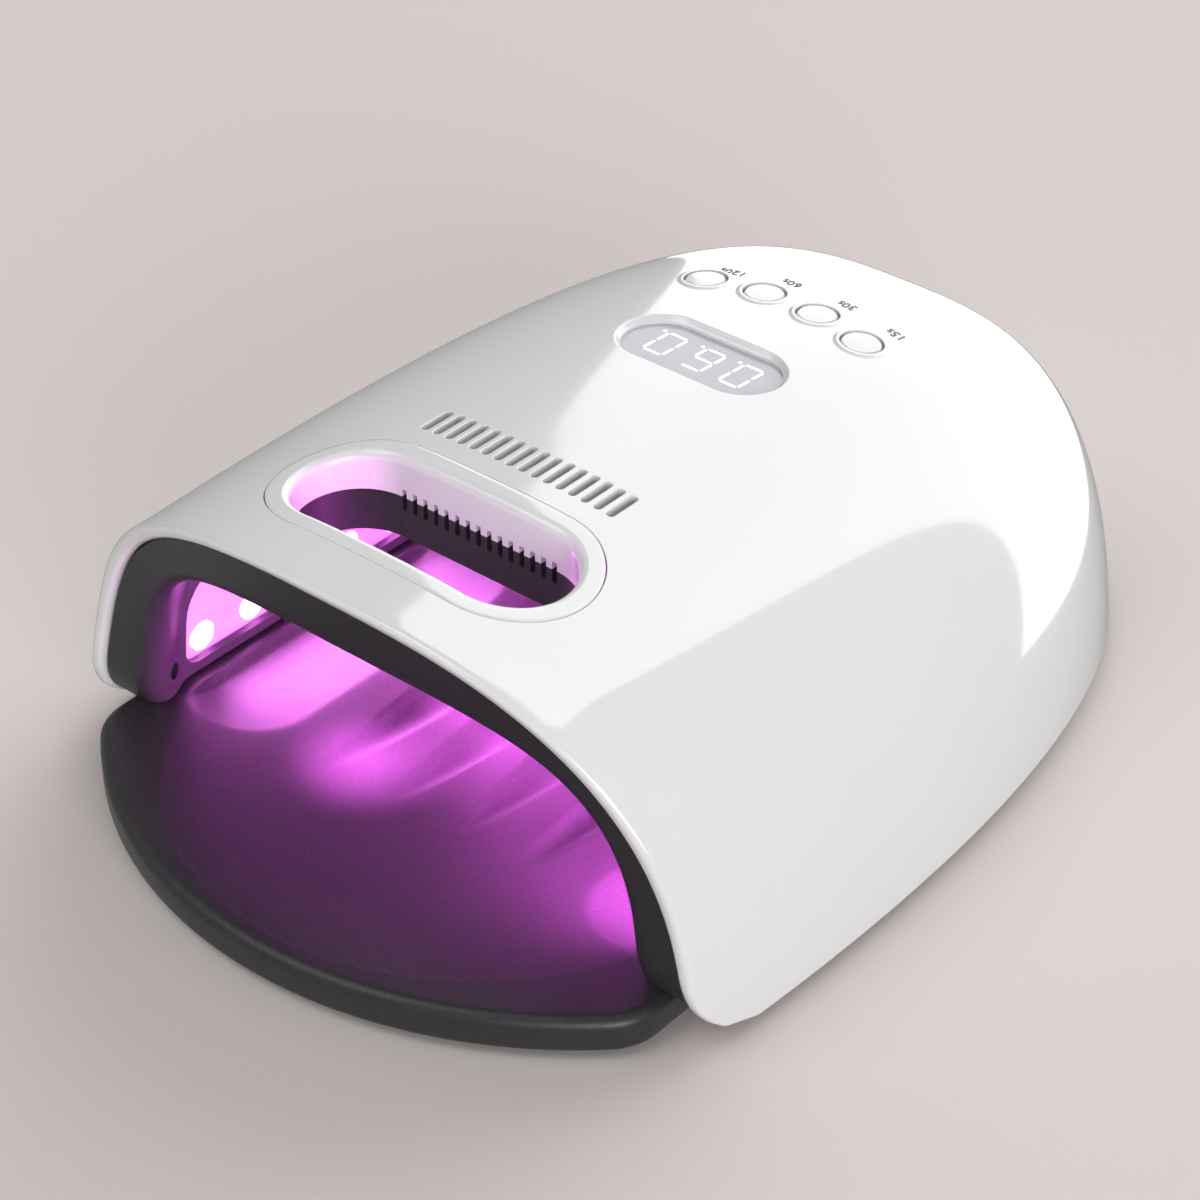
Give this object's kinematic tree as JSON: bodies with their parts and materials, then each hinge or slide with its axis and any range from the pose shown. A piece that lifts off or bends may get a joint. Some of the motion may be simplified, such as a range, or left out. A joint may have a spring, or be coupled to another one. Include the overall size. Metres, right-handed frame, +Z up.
{
  "type": "LED nail lamp",
  "caption": "Cordless LED nail lamp: gloss hood with a carrying slot, a dark hand chamber with LED strips, timer buttons, a display and a lift-off base plate.",
  "frame": {"origin": "on the table, under the middle of the whole outline", "axes": "+Z up; the mouth and the tongue of the base plate face -Y; +X to the right of someone who looks along +Y into the mouth"},
  "size_m": [0.2138, 0.2922, 0.096],
  "materials": {
    "white_shell": "high gloss moulded ABS",
    "white_trim": "high gloss moulded ABS",
    "button_white": "gloss key caps",
    "liner_plastic": "fine spark texture",
    "plate_plastic": "fine spark texture",
    "cover_plastic": "fine texture",
    "reflector": "bright folded sheet",
    "circuit_board": "green solder mask",
    "led_lens": "clear domed lens over a lit chip",
    "sensor": "dark filter plastic",
    "display_panel": "smoked grey window",
    "black_parts": "moulded component bodies",
    "steel": "zinc plated",
    "magnet": "nickel plated",
    "cell_wrap": "shrink wrap",
    "foot_rubber": "moulded rubber",
    "rocker_plastic": "gloss rocker"
  },
  "bodies": {
    "base": {"base_plate": "plate_plastic", "plate_magnets": "magnet", "plate_feet": "foot_rubber"},
    "housing": {"top_shell": "white_shell", "handle_collar": "white_trim", "handle_well": "liner_plastic", "inner_liner": "liner_plastic", "reflector_left": "reflector", "reflector_right": "reflector", "reflector_top": "reflector", "led_board_left": "circuit_board", "led_board_right": "circuit_board", "led_board_top": "circuit_board", "leds_left": "led_lens", "leds_right": "led_lens", "leds_top": "led_lens", "ir_emitter": "sensor", "ir_receiver": "sensor", "display_window": "display_panel", "display_module": "black_parts", "button_switches": "black_parts", "control_board": "circuit_board", "board_screws": "steel", "main_board": "circuit_board", "board_parts": "black_parts", "battery_cells": "cell_wrap", "battery_cradle": "liner_plastic", "bottom_cover": "cover_plastic", "cover_screws": "steel", "housing_feet": "foot_rubber", "liner_magnets": "magnet", "rear_panel": "cover_plastic", "dc_jack": "black_parts", "switch_body": "black_parts"},
    "key_120s": {"button_120s": "button_white"},
    "key_60s": {"button_60s": "button_white"},
    "key_30s": {"button_30s": "button_white"},
    "key_15s": {"button_15s": "button_white"},
    "rocker": {"power_rocker": "rocker_plastic"}
  },
  "joints": [
    {"name": "housing_lift", "type": "slide", "parent": "base", "child": "housing", "axis": [0, 0, 1], "range_m": [0, 0.06]},
    {"name": "press_120s", "type": "slide", "parent": "housing", "child": "key_120s", "axis": [0.0996, -0.1006, -0.9899], "range_m": [0, 0.0006], "stiffness_N_per_m": 2500, "springref_m": -0.0002},
    {"name": "press_60s", "type": "slide", "parent": "housing", "child": "key_60s", "axis": [0.0116, -0.1082, -0.9941], "range_m": [0, 0.0006], "stiffness_N_per_m": 2500, "springref_m": -0.0002},
    {"name": "press_30s", "type": "slide", "parent": "housing", "child": "key_30s", "axis": [-0.0116, -0.1082, -0.9941], "range_m": [0, 0.0006], "stiffness_N_per_m": 2500, "springref_m": -0.0002},
    {"name": "press_15s", "type": "slide", "parent": "housing", "child": "key_15s", "axis": [-0.0996, -0.1006, -0.9899], "range_m": [0, 0.0006], "stiffness_N_per_m": 2500, "springref_m": -0.0002},
    {"name": "rocker_tip", "type": "hinge", "parent": "housing", "child": "rocker", "pos_m": [0.0085, 0.14147, 0.0122], "axis": [1, 0, 0], "range_deg": [0, 14]}
  ]
}
